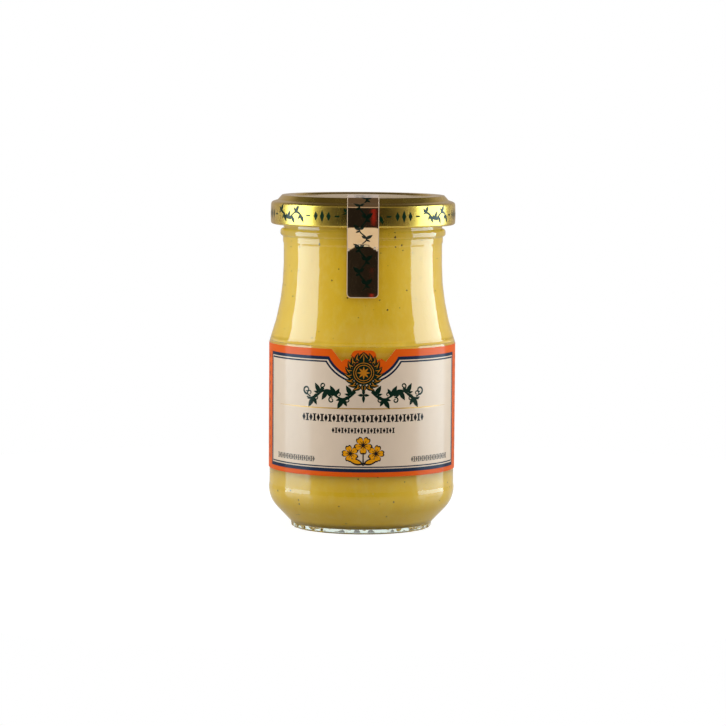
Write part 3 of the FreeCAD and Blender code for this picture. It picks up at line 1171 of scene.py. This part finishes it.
def on_skirt(lift):
    """Map from (arc, height) to a point in metres on the lid's skirt, raised by lift."""
    side = rounded_line(lid_corners(), 3.0)

    def spot(arc, height):
        for above, below in zip(side, side[1:]):
            if above.y >= height > below.y and above.x > STEP_FOOT_RADIUS:
                share = (above.y - height) / (above.y - below.y)
                return place(above.x + (below.x - above.x) * share + lift, arc / LID_RADIUS, height)
        return place(LID_RADIUS - SKIRT_BELLY + lift, arc / LID_RADIUS, height)

    return spot


def make_lid_band():
    """Dark green ornaments printed on the skirt."""
    ink = printed_material("lid_green", rgb(3, 42, 20), roughness=0.3, coat=0.35, depth=0.004)
    sheet_between(
        "lid_band", lid_band(), on_skirt(BAND_LIFT), on_skirt(-BAND_SINK), [ink],
        columns=evenly(COLUMN, math.pi * LID_RADIUS), rows=[LID_FOOT + BAND_ROW * k for k in range(20)],
    )


# ---------------------------------------------------------------- stage, lamps and camera

FLOOR_RADIUS_M = 0.23
TENT_RADIUS_M = 0.75
BOX_DISTANCE_M = 0.42
BOX_FOOT_M = -0.12
BOX_TOP_M = 0.60
FACE_TOP_M = 0.40
FACE_NEARER_M = 0.005
# Name, angle round the jar in degrees, and width in metres of each soft box
BOXES = (("left", -85, 0.32), ("right", 96, 0.37))
BOX_RADIANCE = 2.64
BOX_COLOUR = (0.95, 1, 0.97)
FACE_RADIANCE = 4.9
FACE_COLOUR = (0.76, 0.97, 1.12)
# Name, angle round the jar in degrees, and radiance of each fill
FILLS = (("front", 4, 1.17), ("back", 184, 0.85))
FILL_DISTANCE_M = 0.9
FILL_SIZE_M = 0.7
FILL_RISE_DEGREES = 26
FILL_COLOUR = (1, 0.87, 0.76)
WORLD_LIGHT = 0.35
CAMERA_DISTANCE_M = 1.055
CAMERA_HEIGHT_M = 0.1500
AIM_HEIGHT_M = 0.0537
AIM_ACROSS_M = 0.0003
LENS_MM = 159.6
ROLL_DEGREES = 0.4


def make_world():
    """White behind the jar and through its glass, and a softer even fill where it lights."""
    world = bpy.data.worlds.new("studio")
    world.use_nodes = True
    tree = world.node_tree
    background = tree.nodes["Background"]
    background.inputs["Color"].default_value = (1, 1, 1, 1)
    path = tree.nodes.new("ShaderNodeLightPath").outputs
    seen = sums(tree, "MAXIMUM", path["Is Camera Ray"], path["Is Glossy Ray"])
    seen = sums(tree, "MAXIMUM", seen, path["Is Transmission Ray"])
    tree.links.new(scaled(tree, seen, 1 - WORLD_LIGHT, WORLD_LIGHT), background.inputs["Strength"])
    bpy.context.scene.world = world


def staged(bm, name):
    """Stage piece from a bmesh with an empty material, and that material's node tree."""
    mesh = bpy.data.meshes.new(name)
    bm.to_mesh(mesh)
    bm.free()
    piece = bpy.data.objects.new(name, mesh)
    bpy.context.scene.collection.objects.link(piece)
    material = bpy.data.materials.new(name)
    material.use_nodes = True
    mesh.materials.append(material)
    return piece, material.node_tree


def make_floor():
    """Round white floor that keeps a faint shadow, and is dimmer through the glass and to bounced light."""
    bm = bmesh.new()
    bmesh.ops.create_circle(bm, cap_ends=True, segments=96, radius=FLOOR_RADIUS_M)
    _, tree = staged(bm, "floor")
    surface = tree.nodes["Principled BSDF"]
    surface.inputs["Base Color"].default_value = (0.85, 0.83, 0.8, 1)
    surface.inputs["Roughness"].default_value = 0.16
    surface = surface.outputs[0]
    for ray, reflected, glowing in (
        ("Is Diffuse Ray", 0.5, 0.0), ("Is Transmission Ray", 0.1, 0.2), ("Is Camera Ray", 0.2, 0.9),
    ):
        matt = new_node(tree, "ShaderNodeBsdfDiffuse", Color=(reflected, reflected, reflected, 1))
        glow = new_node(tree, "ShaderNodeEmission", Strength=glowing)
        white = tree.nodes.new("ShaderNodeAddShader")
        tree.links.new(matt.outputs[0], white.inputs[0])
        tree.links.new(glow.outputs[0], white.inputs[1])
        surface = mixed_by_ray(tree, ray, surface, white.outputs[0])
    tree.links.new(surface, tree.nodes["Material Output"].inputs["Surface"])


def only_in_gloss(piece):
    """Let a stage piece or lamp show only as a reflection."""
    for part in ("camera", "diffuse", "transmission", "shadow", "volume_scatter"):
        setattr(piece, f"visible_{part}", False)


def make_tent():
    """Dim studio that shows only in gloss: dark in front with a raised warm panel, paler behind."""
    bm = bmesh.new()
    bmesh.ops.create_uvsphere(bm, u_segments=64, v_segments=32, radius=TENT_RADIUS_M)
    tent, tree = staged(bm, "tent")
    only_in_gloss(tent)
    where = tree.nodes.new("ShaderNodeTexCoord")
    away = new_node(tree, "ShaderNodeVectorMath")
    away.operation = "NORMALIZE"
    tree.links.new(where.outputs["Object"], away.inputs[0])
    apart = tree.nodes.new("ShaderNodeSeparateXYZ")
    tree.links.new(away.outputs[0], apart.inputs[0])
    back, up = apart.outputs[1], apart.outputs[2]
    pale_wall, dark_wall = (0.50, 0.43, 0.38, 1), (0.016, 0.014, 0.012, 1)
    far_ceiling, near_ceiling = (0.105, 0.085, 0.065, 1), (0.13, 0.11, 0.09, 1)
    panel, ground = (0.5, 0.45, 0.39, 1), (0.34, 0.31, 0.27, 1)
    behind = blended(tree, ramp(tree, up, 0.56, 0.76), pale_wall, far_ceiling)
    overhead = ramp(tree, up, 0.66, 0.84)
    raised = sums(tree, "MULTIPLY", ramp(tree, up, 0.38, 0.52), sums(tree, "SUBTRACT", 1.0, overhead))
    before = blended(tree, raised, dark_wall, panel)
    before = blended(tree, overhead, before, near_ceiling)
    before = blended(tree, ramp(tree, up, -0.08, -0.19), before, ground)
    both = blended(tree, ramp(tree, back, -0.94, -0.34), before, behind)
    glow = tree.nodes.new("ShaderNodeEmission")
    tree.links.new(both, glow.inputs["Color"])
    tree.links.new(glow.outputs[0], tree.nodes["Material Output"].inputs["Surface"])


def make_lamp(name, azimuth, elevation, distance, width, height, radiance, target, colour):
    """Soft rectangular lamp aimed at a point, placed by angles in degrees and a distance from it."""
    data = bpy.data.lights.new(name, "AREA")
    data.shape = "RECTANGLE"
    data.size, data.size_y = width, height
    data.energy = radiance * math.pi * width * height
    data.color = colour
    lamp = bpy.data.objects.new(name, data)
    bpy.context.scene.collection.objects.link(lamp)
    turn, rise = math.radians(azimuth), math.radians(elevation)
    away = Vector((math.sin(turn) * math.cos(rise), -math.cos(turn) * math.cos(rise), math.sin(rise)))
    lamp.location = Vector(target) + away * distance
    lamp.rotation_euler = away.to_track_quat("Z", "Y").to_euler()
    lamp.visible_camera = False
    lamp.visible_transmission = False
    return lamp


def make_lamps():
    """Soft boxes at the sides, as they light and as they shine back, two warm fills and a red card."""
    for side, azimuth, width in BOXES:
        box = make_lamp(
            f"box_{side}", azimuth, 0, BOX_DISTANCE_M, width, BOX_TOP_M - BOX_FOOT_M, BOX_RADIANCE,
            (0, 0, (BOX_FOOT_M + BOX_TOP_M) / 2), BOX_COLOUR,
        )
        box.visible_glossy = False
        face = make_lamp(
            f"face_{side}", azimuth, 0, BOX_DISTANCE_M - FACE_NEARER_M, width, FACE_TOP_M - BOX_FOOT_M,
            FACE_RADIANCE, (0, 0, (BOX_FOOT_M + FACE_TOP_M) / 2), FACE_COLOUR,
        )
        only_in_gloss(face)
    for side, azimuth, radiance in FILLS:
        fill = make_lamp(
            f"{side}_fill", azimuth, FILL_RISE_DEGREES, FILL_DISTANCE_M, FILL_SIZE_M, FILL_SIZE_M, radiance,
            (0, 0, 0.05), FILL_COLOUR,
        )
        fill.visible_glossy = False
    red = make_lamp("red_card", 11.6, 0, 0.15, 0.009, 0.026, 0.3, (0, 0, 0.108), (1, 0.03, 0.01))
    only_in_gloss(red)


def make_camera():
    """Long lens a little above the jar, leaning by a small roll."""
    data = bpy.data.cameras.new("camera")
    data.lens = LENS_MM
    data.sensor_width = 36.0
    data.clip_start = 0.05
    data.clip_end = 20.0
    camera = bpy.data.objects.new("camera", data)
    bpy.context.scene.collection.objects.link(camera)
    camera.location = (0, -CAMERA_DISTANCE_M, CAMERA_HEIGHT_M)
    aim = Vector((AIM_ACROSS_M, 0, AIM_HEIGHT_M)) - camera.location
    turn = aim.to_track_quat("-Z", "Y").to_matrix().to_4x4()
    roll = Matrix.Rotation(math.radians(ROLL_DEGREES), 4, "Z")
    camera.rotation_euler = (turn @ roll).to_euler()
    bpy.context.scene.camera = camera


# ---------------------------------------------------------------- the jar and its stage

make_glass()
make_mustard()
make_lid()
make_lid_band()
make_strip()
make_label()
make_world()
make_floor()
make_tent()
make_lamps()
make_camera()
bpy.context.scene.view_settings.view_transform = "Standard"
